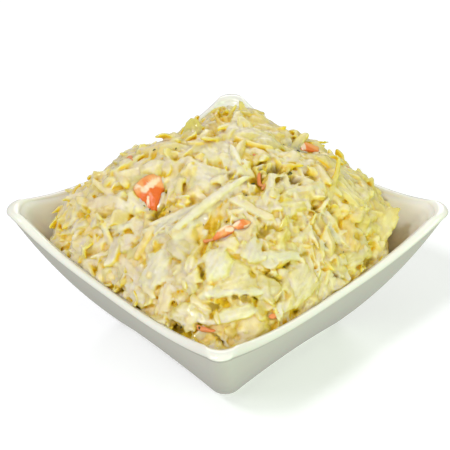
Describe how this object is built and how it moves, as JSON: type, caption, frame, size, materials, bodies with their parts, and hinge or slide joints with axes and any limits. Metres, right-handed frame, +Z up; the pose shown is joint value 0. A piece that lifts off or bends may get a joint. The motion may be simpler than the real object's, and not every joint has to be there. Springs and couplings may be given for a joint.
{
  "type": "bowl of coleslaw",
  "caption": "Square white porcelain bowl with upswept corners, heaped with creamy coleslaw of shredded cabbage and carrot.",
  "frame": {"origin": "centre of the underside of the foot ring, which is the bottom centre of the whole object", "axes": "+Z up; the bowl's four sides face +X, -X, +Y and -Y, and its corner tips lie on the diagonals"},
  "size_m": [0.13, 0.13, 0.0906],
  "materials": {
    "porcelain": "glossy white glaze",
    "dressed_cabbage": "moist, coated with creamy dressing",
    "carrot": "moist, thinly coated with dressing"
  },
  "bodies": {
    "root": {"bowl": "porcelain", "slaw_heap": "dressed_cabbage", "carrot_chunk_left": "carrot", "carrot_piece_middle_left": "carrot", "carrot_piece_middle_right": "carrot", "carrot_piece_back_right": "carrot"}
  },
  "joints": []
}
